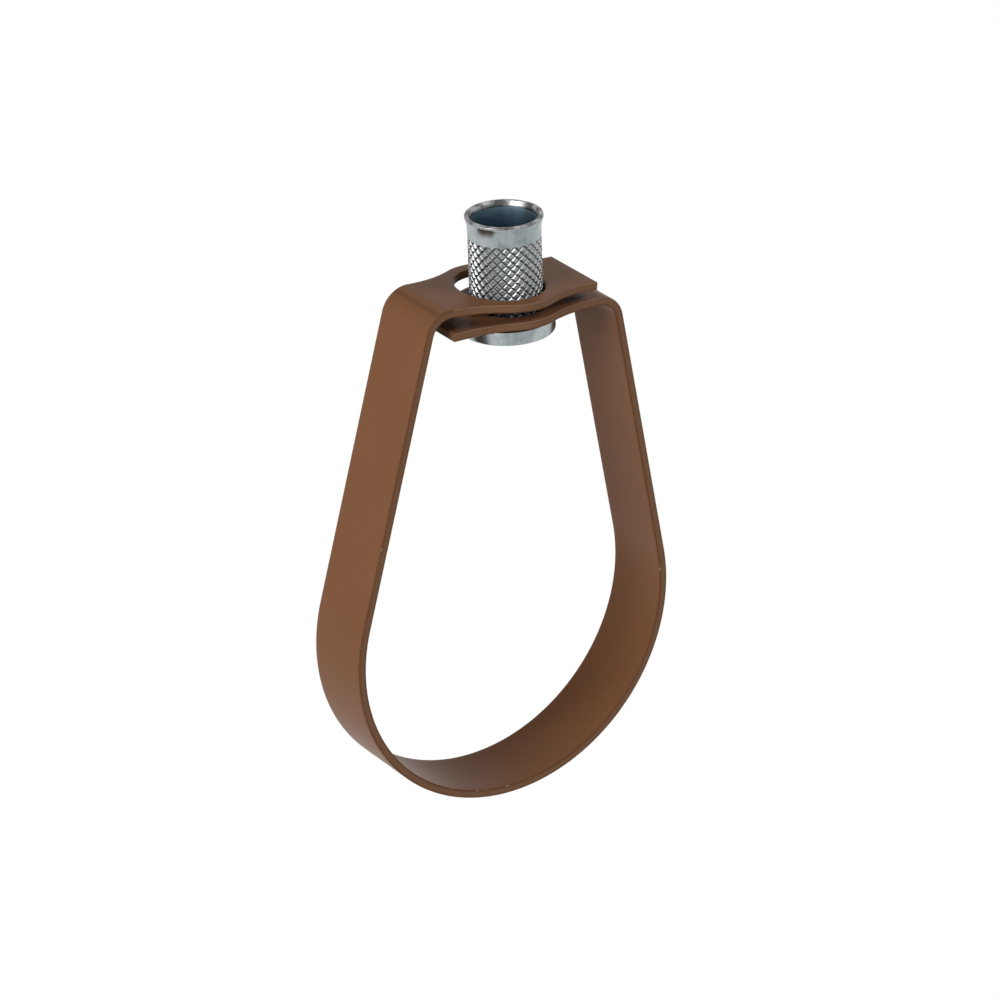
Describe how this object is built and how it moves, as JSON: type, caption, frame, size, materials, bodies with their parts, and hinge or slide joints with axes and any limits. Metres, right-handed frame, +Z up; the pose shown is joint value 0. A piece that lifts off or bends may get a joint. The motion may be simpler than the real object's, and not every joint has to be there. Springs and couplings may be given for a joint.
{
  "type": "swivel ring hanger",
  "caption": "Teardrop ring of folded steel strip that hangs a pipe from a threaded rod, with a knurled swivel nut standing up through its overlapped ends.",
  "frame": {"origin": "on the pipe's axis: the centre of the ring's round seat, midway across the strip", "axes": "+Z up towards the hanging rod, +Y along the pipe, +X across the ring towards the leg that carries the lower flap"},
  "size_m": [0.0766, 0.0242, 0.1268],
  "materials": {
    "band_coating": "copper-brown satin coating over steel strip",
    "zinc_plate": "bright bluish zinc plating, turned and knurled"
  },
  "bodies": {
    "nut": {"knurled_nut": "zinc_plate"},
    "band": {"ring_band": "band_coating"}
  },
  "joints": [
    {"name": "swivel", "type": "hinge", "parent": "nut", "child": "band", "pos_m": [0.00136, -0.00014, 0.0665], "axis": [-0.0464, 0.0209, 0.9987], "continuous": true}
  ]
}
